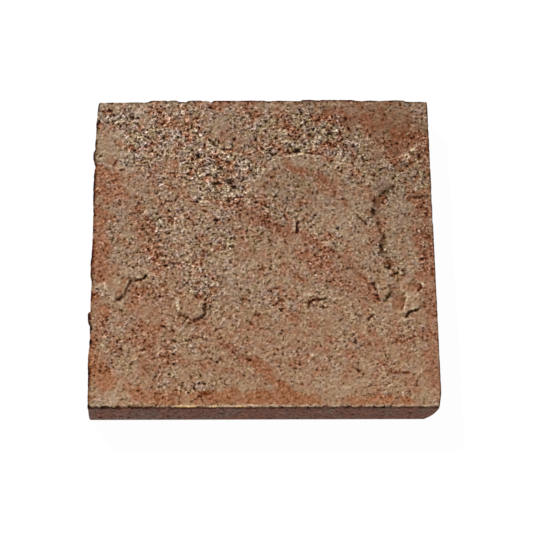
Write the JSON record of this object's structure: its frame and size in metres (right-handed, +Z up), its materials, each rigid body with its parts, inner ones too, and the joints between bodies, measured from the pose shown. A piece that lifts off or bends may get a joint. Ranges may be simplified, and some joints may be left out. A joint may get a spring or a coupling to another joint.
{
  "type": "cast stone hearth slab",
  "caption": "Square cast stone hearth slab with a riven, rust-veined top, straight edges, a flat bedding face and a chipped front corner.",
  "frame": {"origin": "centre of the underside", "axes": "+Z up out of the riven top, -Y towards the front edge, +X towards the chipped corner's side"},
  "size_m": [0.4826, 0.4826, 0.0468],
  "materials": {
    "cast_stone": "matt cast concrete, tan and grey with rusty brown veins and a black and white grain"
  },
  "bodies": {
    "root": {"hearth_slab": "cast_stone"}
  },
  "joints": []
}
